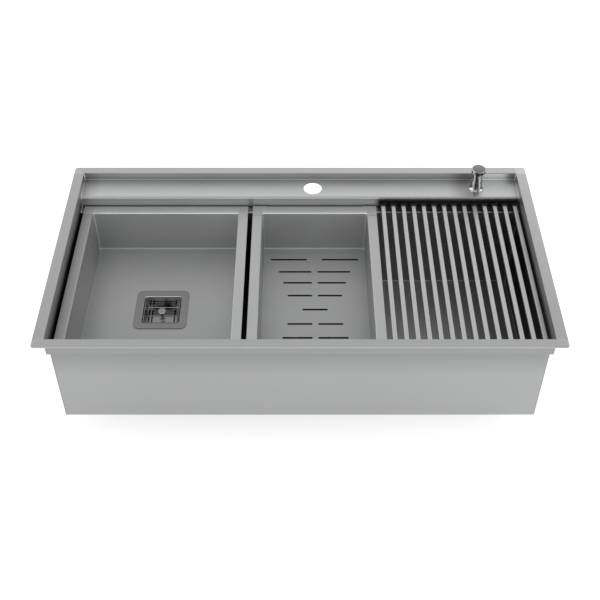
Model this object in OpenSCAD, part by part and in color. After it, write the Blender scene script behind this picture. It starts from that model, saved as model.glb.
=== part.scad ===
// Inset workstation sink: a folded sheet shell with a recessed tap deck, a lift-out basin,
// a slotted lift-out tray, a roll-up drying rack and a soap dispenser.
// The origin is the centre of the rim in plan, on the worktop. +X is to the right and
// +Y is away from the user.

/* [Rim] */
// Width of the rim, left to right
rim_x = 1000; // [960:1:1100]
// Depth of the rim, front to back
rim_y = 540; // [530:1:580]
// Width of the rim beside the shell, at the left and right
rim_side_w = 21.5; // [16:0.5:28]
// Width of the rim in front of and behind the shell
rim_end_w = 20; // [16:0.5:26]
// Thickness of the rim plate
rim_t = 3; // [2:0.5:4]
// Radius of the rim's outer corners
rim_corner_r = 6; // [3:0.5:12]
// Rounding of the rim's top outer edge
rim_edge_r = 0.8; // [0.4:0.1:1.4]
// Depth of the rebate under the rim that takes the shell's top edge
collar_rebate = 0.5; // [0.3:0.1:1]

/* [Folded shell] */
// Thickness of the folded sheet and of the end plates
sheet_t = 1.5; // [1:0.1:2]
// Inside radius of the sheet's bends
bend_r = 2.5; // [1.5:0.1:3]
// Width of the front and back ledges
ledge_y = 20.5; // [16:0.5:24]
// Depth of the ledges below the rim's top
ledge_drop = 42; // [36:1:50]
// Depth of the bowl's floor below the rim's top
bowl_drop = 250; // [240:1:280]

/* [Tap deck] */
// Depth of the tap deck, front to back
deck_y = 63; // [62:1:70]
// Depth of the deck below the rim's top
deck_drop = 18.5; // [15:0.5:22]
// Diameter of the tap hole
tap_hole_d = 40; // [32:0.5:42]
// Distance of the tap hole to the right of the middle
tap_hole_x = 28; // [-60:1:60]
// Distance of the tap hole and the dispenser behind the deck's middle line
tap_offset = 1; // [0.5:0.5:4]

/* [Lift-out basin and tray] */
// Thickness of the basin's and the tray's sheet
pan_t = 1.2; // [1:0.1:1.5]
// Depth from the flange's top to the floor
pan_depth = 104; // [90:1:130]
// Radius of the upright corners inside
pan_corner_r = 4; // [3.5:0.5:12]
// Radius of the bends at the floor and the flange
pan_bend_r = 2; // [1.5:0.1:3]
// Radius of the flanges' outer corners
flange_corner_r = 2; // [1:0.5:6]
// Length of the basin's flange, left to right
basin_flange_x = 359; // [330:1:380]
// Length of the tray's flange, left to right
tray_flange_x = 270; // [250:1:290]
// Width of the flange at the left and right
flange_side_w = 21; // [18:0.5:26]
// Width of the flange at the front and back
flange_end_w = 22.5; // [22.5:0.5:30]
// Gap from the left end plate to the basin
basin_gap = 6; // [3:0.5:8]
// Gap from the basin to the tray
tray_gap = 10.5; // [6:0.5:12]
// Distance of the basin's waste to the left of its middle
basin_waste_offset = 0; // [-20:1:20]
// Width of the drain slots in the tray's floor
tray_slot_w = 3; // [2:0.5:5]
// Side of the square corner plates on the tray
corner_plate_side = 30; // [26:0.5:36]
// Thickness of the corner plates
corner_plate_t = 0.8; // [0.5:0.1:1.2]

/* [Waste fittings] */
// Side of the square waste flange
waste_flange = 112; // [108:1:120]
// Radius of the waste flange's corners
waste_flange_r = 14; // [6:0.5:16]
// Side of the square cup inside
cup_side = 77; // [74:1:80]
// Radius of the cup's upright corners inside
cup_corner_r = 6; // [5:0.5:10]
// Depth of the cup below the floor
cup_depth = 35; // [34:1:46]
// Thickness of the cup's sheet
cup_t = 1.2; // [1:0.1:1.5]
// Outside diameter of the threaded outlet
outlet_d = 47.8; // [42:0.1:50]
// Extra diameter of the outlet's upper thread, which carries the bell nut
nut_thread_extra = 1.2; // [0.8:0.2:2]
// Length of the upper thread
nut_thread_len = 12; // [11:0.5:14]
// Length of the bowl's outlet below its cup
main_outlet_len = 36; // [30:1:60]
// Length of the basin's outlet below its cup
basin_outlet_len = 14; // [14:1:20]

/* [Strainer basket] */
// Outer side of the basket
basket_side = 74; // [70:0.5:74]
// Height of the basket
basket_h = 30; // [26:1:31]
// Thickness of the basket's sheet
basket_t = 1; // [0.8:0.1:1.2]
// Diameter of the basket's knob
knob_d = 17; // [14:0.5:20]
// Height of the knob above the basket's floor
knob_h = 27; // [22:1:30]
// Diameter of the knob's post
post_d = 7.6; // [6:0.2:9]

/* [Roll-up rack] */
// Number of bars
bar_count = 14; // [10:1:14]
// Width of a bar
bar_w = 9; // [7:0.5:10]
// Height of a bar
bar_h = 8; // [6:0.5:10]
// Wall of the bar's tube
bar_wall = 0.8; // [0.5:0.1:1]
// Rounding along the bar's edges
bar_edge_r = 1.2; // [1:0.1:2]
// Silicone under and beside a bar
sleeve_t = 1.8; // [1.2:0.1:2]
// Length of the silicone end, front to back
sleeve_len = 14; // [11:0.5:16]
// Thickness of the silicone beyond the bar's end
sleeve_cap = 5; // [2:0.5:6]
// Length of the silicone lip over the bar's end
sleeve_lip = 2; // [1:0.5:4]
// Thickness of the silicone lip
lip_t = 0.8; // [0.5:0.1:1]
// Thickness of the web between two silicone ends
web_t = 2.4; // [1.6:0.1:2.6]
// Gap from the tray's flange to the rack
tray_rack_gap = 8.5; // [6:0.5:12]
// Gap from the rack to the right end plate
rack_gap = 3; // [2:0.5:4]
// Gap from the rack's ends to the front collar and to the deck face
rack_end_gap = 4.5; // [4:0.5:10]

/* [Soap dispenser] */
// Distance of the dispenser to the right of the middle
dispenser_x = 388; // [300:0.5:420]
// Diameter of the dispenser's hole in the deck
dispenser_hole_d = 26; // [25:0.5:28]
// Diameter of the collar at the deck
collar_base_d = 32; // [30:0.5:36]
// Diameter of the collar at its top
collar_top_d = 24; // [23.5:0.1:25]
// Height of the collar
collar_h = 23; // [20:0.5:25]
// Diameter of the head's sleeve
head_sleeve_d = 21; // [20:0.1:21.4]
// Diameter of the press cap
cap_d = 30.5; // [28:0.5:34]
// Thickness of the press cap
cap_h = 8; // [6:0.5:10]
// Height of the head between the collar, when pressed, and the cap
head_neck_h = 18; // [17.5:0.5:24]
// Reach of the spout's mouth from the middle of the head
spout_reach = 36; // [33:0.5:36]
// Height of the spout's mouth above the deck
spout_mouth_h = 8.5; // [7:0.5:14]
// Diameter of the spout at the head
spout_root_d = 9.2; // [8:0.2:9.6]
// Diameter of the spout at its tip
spout_tip_d = 4.6; // [4:0.2:6.4]
// Travel of the press cap
press_travel = 5; // [4:0.5:5.5]
// Outside diameter of the threaded shank
shank_d = 24; // [22:0.5:24.5]
// Diameter of the soap bottle
bottle_d = 56; // [50:1:58]
// Height of the soap bottle below the deck
bottle_h = 145; // [110:1:170]

/* [Fits] */
// Gap under a piece that lifts out
rest_gap = 0.2; // [0.1:0.1:0.4]
// Gap from the pans' flanges to where the ledges bend up
flange_gap = 2.1; // [0.5:0.1:3]
// Gap round a piece that passes through a hole
hole_gap = 0.5; // [0.3:0.1:0.8]
// Gap at a sliding or turning fit
slide_gap = 0.3; // [0.2:0.05:0.4]
// Gap between screwed or fitted pieces of one body
thread_gap = 0.05; // [0.02:0.01:0.1]

/* [Hidden] */
$fn = 48;

bar_numbers = [for (i = [1 : bar_count]) i];
function two_digits(i) = i < 10 ? str("0", i) : str(i);
function bar_name(i) = str("rack_bar_", two_digits(i));
function sleeve_name(i) = str("rack_sleeve_", two_digits(i));

// Heights of the shell's surfaces on the water side
z_rim_top = rim_t;
z_deck = z_rim_top - deck_drop;
z_ledge = z_rim_top - ledge_drop;
z_floor = z_rim_top - bowl_drop;

// Inside of the shell: its length between the end plates and its depth between the collars
shell_x = rim_x - 2 * rim_side_w;
shell_y = rim_y - 2 * rim_end_w;

// Places along Y of the shell's upright surfaces on the water side
y_front = -shell_y / 2;
y_back = shell_y / 2;
y_deck_face = y_back - deck_y;
y_bowl_front = y_front + ledge_y;
y_bowl_back = y_deck_face - ledge_y;
y_bowl_mid = (y_bowl_front + y_bowl_back) / 2;

// Pans: flanges along Y lie between the front collar and the deck face. bend_foot is the
// distance from either of them at which the bend is as low as the flange
bend_foot = bend_r - sqrt(pow(bend_r, 2) - pow(bend_r - rest_gap, 2));
flange_y = y_deck_face - y_front - 2 * (bend_foot + flange_gap);
basin_flange = [basin_flange_x, flange_y];
tray_flange = [tray_flange_x, flange_y];
flange_border = 2 * [flange_side_w, flange_end_w];
x_left = -shell_x / 2;
x_right = shell_x / 2;
basin_at = [x_left + basin_gap + basin_flange_x / 2, y_bowl_mid];
tray_at = [basin_at.x + basin_flange_x / 2 + tray_gap + tray_flange_x / 2, y_bowl_mid];
z_pan = z_ledge + rest_gap + pan_t;
z_pan_floor = z_pan - pan_depth;
basin_waste_at = [basin_at.x - basin_waste_offset, y_bowl_mid];

// Tray slots: distance from the middle row, and the near and far ends of each slot
slot_rows = [[42, 6.5, 58], [81.5, 6.5, 68], [116, 7, 78], [155.5, 17, 97]];
middle_slot_half = 26.5;

// Sound pads
pad = [240, 300];
pad_t = 2.5;
pad_corner_r = 12;
pad_offset = 210;
pad_groove = 3;
pad_groove_pitch = 50;
pad_groove_len = 200;

// Waste fittings: the hole clears the bend between the cup and its flange
cup_bend_r = 2;
cup_hole_border = cup_t + cup_bend_r + hole_gap;
cup_hole = cup_side + 2 * cup_hole_border;
cup_hole_r = cup_corner_r + cup_hole_border;
cup_half_diagonal = (cup_hole / 2 - cup_hole_r) * sqrt(2) + cup_hole_r;
outlet_wall = 2;
gasket_t = 2.5;
nut_wall = 3.5;
nut_gap = 1;
nut_hub_h = 8;
nut_lugs = 8;

// Strainer basket
seal_t = 3.5;
basket_bend_r = 2;
basket_corner_r = 4;
stud_d = 4.8;

// Slots of the basket, as shares of its half side: columns of short slots along the floor's
// left and right, one cross slot at its front and back, and rows round the walls, of which
// the top one runs unbroken. The rows' heights are shares of the basket's height.
floor_slot_w = 3.4;
floor_columns = [-0.84, -0.65, 0.65, 0.84];
floor_slot_step = 0.56;
floor_slot_len = 0.46;
cross_slot_len = 1;
wall_slot_w = 2.7;
wall_rows = [0.16, 0.4];
wall_top_row = 0.64;
wall_slot_mid = 0.38;
wall_slot_len = 0.62;

// Rack
sleeve_w = bar_w + 2 * (sleeve_t + thread_gap);
x_last_bar = x_right - rack_gap - sleeve_w / 2;
x_first_bar = tray_at.x + tray_flange_x / 2 + tray_rack_gap + sleeve_w / 2;
bar_pitch = (x_last_bar - x_first_bar) / (bar_count - 1);
z_rack = z_ledge + rest_gap;
hinge_bead_r = web_t / 2;
sleeve_corner_r = 2;
web_setback = 0.5;
bar_len = y_deck_face - y_front - 2 * (rack_end_gap + sleeve_cap);
function bar_x(i) = x_first_bar + (i - 1) * bar_pitch;

// Soap dispenser: the deck's top is its zero height
y_tap = (y_deck_face + y_back) / 2 + tap_offset;
dispenser_at = [dispenser_x, y_tap, z_deck];
shank_flange_h = 2;
shank_top_h = 3;
shank_len = 48;
shank_bore_d = 18;
washer_d = 40;
washer_t = 3;
nut_side_d = 44;
nut_h = 8;
neck_wall = 2.6;
neck_h = 22;
bottle_wall = 2;
bottle_shoulder_h = 14;
cylinder_wall = 2;
cylinder_flange_t = 1.5;
cylinder_len = 84;
stem_d = 7;
stem_top_h = 35;
socket_depth = 10;
piston_h = 5;
piston_z = -30;
spring_wire = 1;
spring_turns = 8;
tube_d = 5;
tube_bore_d = 3;
head_wall = 2;
head_skirt_bottom = 14;
cap_edge_r = 1.6;
cap_z = collar_h + press_travel + head_neck_h;
head_top_h = cap_z + cap_h;
spout_root_h = cap_z - 3.5;
spout_root_reach = 7;
spout_bore_d = 2.6;

function unit(v) = v / norm(v);
function left_of(d) = [-d.y, d.x];
function right_of(d) = [d.y, -d.x];
function turns_left(a, b) = a.x * b.y - a.y * b.x > 0;

// Quarter of a flat ring, in the first quadrant
module quarter_ring(r_in, r_out) {
    intersection() {
        difference() {
            circle(r_out);
            circle(r_in);
        }
        square(r_out);
    }
}

// Section of a folded sheet that lies on the right of a path with square corners.
// The path runs along the sheet's water side.
module folded_sheet(path, t, bend) {
    last = len(path) - 1;
    way = [for (i = [0 : last - 1]) unit(path[i + 1] - path[i])];
    setback = [
        for (i = [0 : last])
            i == 0 || i == last ? 0 : turns_left(way[i - 1], way[i]) ? bend : bend + t
    ];
    for (i = [0 : last - 1])
        translate(path[i] + way[i] * setback[i])
            rotate(atan2(way[i].y, way[i].x))
                translate([0, -t])
                    square([norm(path[i + 1] - path[i]) - setback[i] - setback[i + 1], t]);
    for (i = [1 : last - 1]) {
        left = turns_left(way[i - 1], way[i]);
        inward = left ? left_of(way[i - 1]) : right_of(way[i - 1]);
        start = left ? right_of(way[i - 1]) : left_of(way[i]);
        translate(path[i] + (inward - way[i - 1]) * setback[i])
            rotate(atan2(start.y, start.x))
                quarter_ring(bend, bend + t);
    }
}

// Carries a section round a rectangle: straight along the sides and turned at the corners.
// The section's X points outward from the rectangle.
module around(core) {
    for (end = [0, 180])
        rotate(end) {
            translate([core.x / 2, core.y / 2, 0]) {
                rotate([90, 0, 0])
                    linear_extrude(core.y)
                        children();
                rotate_extrude(angle = 90)
                    children();
            }
            rotate(90)
                translate([core.y / 2, core.x / 2, 0]) {
                    rotate([90, 0, 0])
                        linear_extrude(core.x)
                            children();
                    rotate_extrude(angle = 90)
                        children();
                }
        }
}

// Rectangle with round corners, centred
module round_rect(size, r) {
    square([size.x - 2 * r, size.y], center = true);
    square([size.x, size.y - 2 * r], center = true);
    for (x = [-1, 1], y = [-1, 1])
        translate([x * (size.x / 2 - r), y * (size.y / 2 - r)])
            circle(r);
}

// Pressed pan with a flange; its zero height is the flange's top
module pressed_pan(inner, flange, flange_r, depth, corner, bend, t) {
    core = inner - 2 * [corner, corner];
    lip = corner + bend + t;
    around(core)
        folded_sheet([[0, -depth], [corner, -depth], [corner, 0], [lip + t, 0]], t, bend);
    translate([0, 0, -depth - t])
        linear_extrude(t)
            square(core, center = true);
    translate([0, 0, -t])
        linear_extrude(t)
            difference() {
                round_rect(flange, flange_r);
                round_rect(core + 2 * [lip, lip], lip);
            }
}

// Slot with round ends along X, centred
module slot(len, w) {
    square([len - w, w], center = true);
    for (end = [-1, 1])
        translate([end * (len - w) / 2, 0])
            circle(w / 2);
}

// Upright rectangle in the YZ plane whose bottom corners are round
module round_foot(y0, y1, z0, z1, r) {
    translate([y0, z0 + r])
        square([y1 - y0, z1 - z0 - r]);
    translate([y0 + r, z0])
        square([y1 - y0 - 2 * r, r]);
    for (y = [y0 + r, y1 - r])
        translate([y, z0 + r])
            circle(r);
}

// Turns a section drawn in Y and Z into a length along X
module along_x(x0, x1) {
    translate([x0, 0, 0])
        rotate([90, 0, 90])
            linear_extrude(x1 - x0)
                children();
}

// Flat ring on the worktop, with a rebate round its opening for the shell's top edge
module rim_frame() {
    core = [rim_x, rim_y] - 2 * [rim_corner_r, rim_corner_r];
    rebate = [shell_x, shell_y] + 2 * (sheet_t + hole_gap) * [1, 1];
    color("silver")
        difference() {
            union() {
                around(core) {
                    square([rim_corner_r - rim_edge_r, rim_t]);
                    square([rim_corner_r, rim_t - rim_edge_r]);
                    translate([rim_corner_r - rim_edge_r, rim_t - rim_edge_r])
                        circle(rim_edge_r);
                }
                linear_extrude(rim_t)
                    square(core, center = true);
            }
            translate([0, 0, -rim_t])
                linear_extrude(3 * rim_t)
                    square([shell_x, shell_y], center = true);
            translate([0, 0, -rim_t])
                linear_extrude(rim_t + collar_rebate)
                    square(rebate, center = true);
        }
}

module folded_shell() {
    section = [
        [y_front, collar_rebate], [y_front, z_ledge], [y_bowl_front, z_ledge], [y_bowl_front, z_floor],
        [y_bowl_back, z_floor], [y_bowl_back, z_ledge], [y_deck_face, z_ledge],
        [y_deck_face, z_deck], [y_back, z_deck], [y_back, collar_rebate]
    ];
    color("darkgray")
        difference() {
            along_x(x_left, x_right)
                folded_sheet(section, sheet_t, bend_r);
            translate([tap_hole_x, y_tap, z_deck])
                cylinder(h = 4 * sheet_t, d = tap_hole_d, center = true);
            translate(dispenser_at)
                cylinder(h = 4 * sheet_t, d = dispenser_hole_d, center = true);
            translate([tray_at.x, tray_at.y, z_floor - 2 * sheet_t])
                linear_extrude(4 * sheet_t)
                    round_rect([cup_hole, cup_hole], cup_hole_r);
        }
}

// Flat end of the shell, with the folded sheet's own outline
module end_plate(x0) {
    corner = bend_r + sheet_t;
    color("gray")
        along_x(x0, x0 + sheet_t) {
            round_foot(y_bowl_front - sheet_t, y_bowl_back + sheet_t, z_floor - sheet_t,
                collar_rebate, corner);
            round_foot(y_front - sheet_t, y_deck_face + sheet_t, z_ledge - sheet_t,
                collar_rebate, corner);
            round_foot(y_front - sheet_t, y_back + sheet_t, z_deck - sheet_t,
                collar_rebate, corner);
        }
}

module end_plate_left() {
    end_plate(x_left - sheet_t);
}

module end_plate_right() {
    end_plate(x_right);
}

// Ribbed rubber pads under the floor, left and right of the waste
module sound_pads() {
    color("dimgray")
        for (x = [tray_at.x - pad_offset, tray_at.x + pad_offset])
            translate([x, y_bowl_mid, z_floor - sheet_t - pad_t])
                difference() {
                    linear_extrude(pad_t)
                        round_rect(pad, pad_corner_r);
                    for (y = [-2 : 2])
                        translate([0, y * pad_groove_pitch, 0])
                            cube([pad_groove_len, pad_groove, pad_t], center = true);
                }
}

// Pressed square cup with its flange on the floor, and an outlet with two threads:
// a thicker one for the bell nut and one below it for the trap
module waste_cup(at, z, outlet_len) {
    color("gainsboro")
        translate([at.x, at.y, z]) {
            difference() {
                translate([0, 0, cup_t])
                    pressed_pan([cup_side, cup_side], [waste_flange, waste_flange],
                        waste_flange_r, cup_depth + cup_t, cup_corner_r, cup_bend_r, cup_t);
                translate([0, 0, -cup_depth - 2 * cup_t])
                    cylinder(h = 4 * cup_t, d = outlet_d - 2 * outlet_wall);
            }
            translate([0, 0, -cup_depth - cup_t - outlet_len])
                difference() {
                    union() {
                        cylinder(h = outlet_len, d = outlet_d);
                        translate([0, 0, outlet_len - nut_thread_len])
                            cylinder(h = nut_thread_len, d = outlet_d + nut_thread_extra);
                    }
                    translate([0, 0, -cup_t])
                        cylinder(h = outlet_len + 2 * cup_t, d = outlet_d - 2 * outlet_wall);
                }
        }
}

// Rubber ring between the floor's underside and the bell nut
module waste_gasket(at, z) {
    color("dimgray")
        translate([at.x, at.y, z - gasket_t])
            difference() {
                cylinder(h = gasket_t, r = cup_half_diagonal + nut_gap + nut_wall);
                translate([0, 0, -gasket_t])
                    cylinder(h = 3 * gasket_t, r = cup_half_diagonal + nut_gap);
            }
}

// Bell nut that clamps the cup: its rim meets the gasket and its hub turns on the outlet
module waste_nut(at, z) {
    bore_r = (outlet_d + nut_thread_extra) / 2 + thread_gap;
    wall_r = cup_half_diagonal + nut_gap;
    drop = cup_depth + cup_t + nut_gap - gasket_t;
    color("whitesmoke")
        translate([at.x, at.y, z - gasket_t]) {
            rotate_extrude()
                polygon([
                    [wall_r, 0], [wall_r + nut_wall, 0], [wall_r + nut_wall, -drop],
                    [wall_r, -drop - nut_wall], [bore_r + nut_wall, -drop - nut_wall],
                    [bore_r + nut_wall, -drop - nut_hub_h], [bore_r, -drop - nut_hub_h],
                    [bore_r, -drop], [wall_r, -drop]
                ]);
            for (i = [1 : nut_lugs])
                rotate(i * 360 / nut_lugs)
                    translate([wall_r + nut_wall / 2, -nut_wall / 2, -drop + nut_wall])
                        cube([nut_wall * 1.5, nut_wall, drop * 0.6]);
        }
}

module basket_floor_slots(half) {
    for (x = floor_columns, y = [-1 : 1])
        translate([x, y * floor_slot_step] * half)
            rotate(90)
                slot(floor_slot_len * half, floor_slot_w);
    for (y = [min(floor_columns), max(floor_columns)])
        translate([0, y * half])
            slot(cross_slot_len * half, floor_slot_w);
}

// Slots of one wall, drawn from its middle line and from the floor's underside
module basket_wall_slots(half) {
    for (row = wall_rows, x = [-wall_slot_mid, wall_slot_mid])
        translate([x * half, row * basket_h])
            slot(wall_slot_len * half, wall_slot_w);
    translate([0, wall_top_row * basket_h])
        slot((2 * wall_slot_mid + wall_slot_len) * half, wall_slot_w);
}

// Square basket with slots in its floor and walls; its zero height is its floor's underside
module basket_shell(at, z) {
    half = basket_side / 2;
    corner = basket_corner_r;
    core = [basket_side, basket_side] - 2 * (corner + basket_t) * [1, 1];
    color("silver")
        translate([at.x, at.y, z])
            difference() {
                union() {
                    around(core)
                        folded_sheet([[0, basket_t], [corner, basket_t], [corner, basket_h]],
                            basket_t, basket_bend_r);
                    linear_extrude(basket_t)
                        square(core, center = true);
                }
                cylinder(h = 3 * basket_t, d = stud_d + 2 * thread_gap, center = true);
                translate([0, 0, -basket_t])
                    linear_extrude(3 * basket_t)
                        basket_floor_slots(half);
                for (side = [0 : 3])
                    rotate(side * 90)
                        translate([half - 2 * basket_t, 0, 0])
                            rotate([90, 0, 90])
                                linear_extrude(3 * basket_t)
                                    basket_wall_slots(half);
            }
}

// Lifting knob: a post with a flared head and a stud through the basket's floor
module basket_knob(at, z) {
    post_r = post_d / 2;
    knob_r = knob_d / 2;
    neck_h = knob_h - 5;
    color("gainsboro")
        translate([at.x, at.y, z + basket_t])
            rotate_extrude()
                polygon([
                    [0, -basket_t - seal_t * 0.6], [stud_d / 2, -basket_t - seal_t * 0.6],
                    [stud_d / 2, 0], [post_r + 2, 0], [post_r + 2, 1.2], [post_r, 2.4],
                    [post_r, neck_h], [knob_r - 1, knob_h - 3.4], [knob_r, knob_h - 2.6],
                    [knob_r, knob_h - 0.8], [knob_r - 0.8, knob_h], [0, knob_h]
                ]);
}

// Rubber stopper under the basket, over the outlet
module basket_seal(at, z) {
    seal_r = outlet_d / 2 + 1.5;
    color("dimgray")
        translate([at.x, at.y, z - seal_t])
            difference() {
                rotate_extrude()
                    polygon([
                        [0, 0], [seal_r - 2, 0], [seal_r, 1], [seal_r, 2.2],
                        [seal_r - 6, seal_t], [0, seal_t]
                    ]);
                translate([0, 0, seal_t * 0.4])
                    cylinder(h = seal_t, d = stud_d + 2 * thread_gap);
            }
}

main_waste_at = tray_at;
z_main_basket = z_floor - cup_depth + seal_t + rest_gap;
z_basin_basket = z_pan_floor - cup_depth + seal_t + rest_gap;

module main_waste_cup() {
    waste_cup(main_waste_at, z_floor, main_outlet_len);
}

module main_waste_gasket() {
    waste_gasket(main_waste_at, z_floor - sheet_t);
}

module main_waste_nut() {
    waste_nut(main_waste_at, z_floor - sheet_t);
}

module main_basket() {
    basket_shell(main_waste_at, z_main_basket);
}

module main_basket_knob() {
    basket_knob(main_waste_at, z_main_basket);
}

module main_basket_seal() {
    basket_seal(main_waste_at, z_main_basket);
}

module basin_shell() {
    color("silver")
        difference() {
            translate([basin_at.x, basin_at.y, z_pan])
                pressed_pan(basin_flange - flange_border, basin_flange, flange_corner_r,
                    pan_depth, pan_corner_r, pan_bend_r, pan_t);
            translate([basin_waste_at.x, basin_waste_at.y, z_pan_floor - 2 * pan_t])
                linear_extrude(4 * pan_t)
                    round_rect([cup_hole, cup_hole], cup_hole_r);
        }
}

module basin_waste_cup() {
    waste_cup(basin_waste_at, z_pan_floor, basin_outlet_len);
}

module basin_waste_gasket() {
    waste_gasket(basin_waste_at, z_pan_floor - pan_t);
}

module basin_waste_nut() {
    waste_nut(basin_waste_at, z_pan_floor - pan_t);
}

module basin_basket() {
    basket_shell(basin_waste_at, z_basin_basket);
}

module basin_basket_knob() {
    basket_knob(basin_waste_at, z_basin_basket);
}

module basin_basket_seal() {
    basket_seal(basin_waste_at, z_basin_basket);
}

// Drain slots of the tray: one in the middle and pairs that lengthen towards the ends
module tray_slots() {
    slot(2 * middle_slot_half, tray_slot_w);
    for (row = slot_rows, x = [-1, 1], y = [-1, 1])
        translate([x * (row[1] + row[2]) / 2, y * row[0]])
            slot(row[2] - row[1], tray_slot_w);
}

module tray_shell() {
    color("silver")
        translate([tray_at.x, tray_at.y, z_pan])
            difference() {
                pressed_pan(tray_flange - flange_border, tray_flange, flange_corner_r,
                    pan_depth, pan_corner_r, pan_bend_r, pan_t);
                translate([0, 0, -pan_depth - 2 * pan_t])
                    linear_extrude(4 * pan_t)
                        tray_slots();
            }
}

// Thin plates on the corners of the tray's flange, cut back where the tray is open
module tray_corner_plates() {
    opening = tray_flange - flange_border + 2 * (pan_bend_r + pan_t) * [1, 1];
    color("lightgray")
        translate([tray_at.x, tray_at.y, z_pan])
            for (x = [-1, 1], y = [-1, 1])
                linear_extrude(corner_plate_t)
                    difference() {
                        translate([x * tray_flange.x, y * tray_flange.y] / 2
                            - [x, y] * corner_plate_side / 2)
                            square(corner_plate_side, center = true);
                        square(opening, center = true);
                    }
}

// Steel tube of the rack, lying front to back
module rack_bar(i) {
    color("lightsteelblue")
        translate([bar_x(i), y_bowl_mid + bar_len / 2, z_rack + sleeve_t + bar_h / 2])
            rotate([90, 0, 0])
                linear_extrude(bar_len)
                    difference() {
                        round_rect([bar_w, bar_h], bar_edge_r);
                        square([bar_w, bar_h] - 2 * [bar_wall, bar_wall], center = true);
                    }
}

// One silicone end: a cradle beside and under the bar, a cap with a lip that holds the
// bar's end, and the web's halves with a bead on the right and its socket on the left.
// Its zero is the bar's end, with the cap on the +Y side.
module rack_end(web_left, web_right) {
    cradle_len = sleeve_len - sleeve_cap;
    half_w = sleeve_w / 2;
    web_len = sleeve_len - web_setback;
    web_w = bar_pitch / 2 - half_w + bar_edge_r;
    difference() {
        union() {
            translate([-half_w, -cradle_len, 0])
                cube([sleeve_w, cradle_len, sleeve_t + bar_h - lip_t]);
            linear_extrude(sleeve_t + bar_h + lip_t)
                hood_outline(half_w);
        }
        translate([-bar_w / 2 - thread_gap, -2 * cradle_len, sleeve_t - thread_gap])
            cube([bar_w + 2 * thread_gap, 2 * cradle_len + thread_gap, bar_h + 2 * thread_gap]);
    }
    if (web_right)
        translate([0, -cradle_len, 0]) {
            translate([half_w - bar_edge_r, 0, 0])
                cube([web_w, web_len, web_t]);
            translate([bar_pitch / 2, web_len, web_t / 2])
                rotate([90, 0, 0])
                    cylinder(h = web_len, r = hinge_bead_r);
        }
    if (web_left)
        difference() {
            translate([-bar_pitch / 2, -cradle_len, 0])
                cube([web_w, web_len, web_t]);
            translate([-bar_pitch / 2, sleeve_len, web_t / 2])
                rotate([90, 0, 0])
                    cylinder(h = 3 * sleeve_len, r = hinge_bead_r + slide_gap);
        }
}

// Plan of the cap and its lip, with the cap's two upright corners round
module hood_outline(half_w) {
    translate([-half_w, -sleeve_lip])
        square([2 * half_w, sleeve_lip + sleeve_cap - sleeve_corner_r]);
    translate([-half_w + sleeve_corner_r, 0])
        square([2 * (half_w - sleeve_corner_r), sleeve_cap]);
    for (x = [-1, 1])
        translate([x * (half_w - sleeve_corner_r), sleeve_cap - sleeve_corner_r])
            circle(sleeve_corner_r);
}

module rack_sleeve(i) {
    color("black")
        translate([bar_x(i), y_bowl_mid, z_rack])
            for (side = [0, 1])
                mirror([0, side, 0])
                    translate([0, bar_len / 2, 0])
                        rack_end(i > 1, i < bar_count);
}

// Chrome collar on the deck, flared to its foot, bored for the head's sleeve
module dispenser_collar() {
    foot_r = collar_base_d / 2;
    top_r = collar_top_d / 2;
    bore_r = head_sleeve_d / 2 + slide_gap;
    steps = 12;
    flare = [
        for (i = [0 : steps])
            let (s = i / steps)
                [top_r + (foot_r - top_r) * pow(1 - s, 2.4), 1 + s * (collar_h - 2)]
    ];
    color("gainsboro")
        translate(dispenser_at)
            rotate_extrude()
                polygon(concat(
                    [[bore_r + 3, 0], [foot_r, 0]], flare,
                    [[top_r - 0.6, collar_h], [bore_r, collar_h],
                    [bore_r, shank_top_h + cylinder_flange_t + 1],
                    [bore_r + 3, shank_top_h + cylinder_flange_t]]
                ));
}

// Threaded shank through the deck, with a flange under the collar
module dispenser_shank() {
    color("whitesmoke")
        translate(dispenser_at)
            difference() {
                union() {
                    translate([0, 0, -shank_len])
                        cylinder(h = shank_len + shank_top_h, d = shank_d - 3);
                    translate([0, 0, -shank_len])
                        cylinder(h = shank_len, d = shank_d);
                    cylinder(h = shank_flange_h, d = dispenser_hole_d + 1);
                }
                translate([0, 0, -2 * shank_len])
                    cylinder(h = 4 * shank_len, d = shank_bore_d);
            }
}

module dispenser_washer() {
    color("dimgray")
        translate(dispenser_at - [0, 0, sheet_t + washer_t])
            difference() {
                cylinder(h = washer_t, d = washer_d);
                translate([0, 0, -washer_t])
                    cylinder(h = 3 * washer_t, d = shank_d + 2 * hole_gap);
            }
}

module dispenser_nut() {
    color("whitesmoke")
        translate(dispenser_at - [0, 0, sheet_t + washer_t + nut_h])
            difference() {
                cylinder(h = nut_h, d = nut_side_d, $fn = 6);
                translate([0, 0, -nut_h])
                    cylinder(h = 3 * nut_h, d = shank_d + 2 * thread_gap);
            }
}

// Soap bottle, screwed on the shank by its neck
module dispenser_bottle() {
    neck_r = shank_d / 2 + thread_gap;
    neck_top = -shank_len + neck_h;
    shoulder = -shank_len - bottle_shoulder_h;
    bottom = shoulder - bottle_h + bottle_shoulder_h;
    r = bottle_d / 2;
    foot_r = r - 4;
    color("white", 0.9)
        translate(dispenser_at)
            rotate_extrude()
                polygon([
                    [neck_r, neck_top], [neck_r + neck_wall, neck_top],
                    [neck_r + neck_wall, -shank_len], [r - 4, shoulder + 4], [r, shoulder],
                    [r, bottom + 4], [foot_r, bottom], [0, bottom],
                    [0, bottom + bottle_wall], [foot_r - 1, bottom + bottle_wall],
                    [r - bottle_wall, bottom + 5], [r - bottle_wall, shoulder],
                    [neck_r, -shank_len - bottle_wall]
                ]);
}

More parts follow.
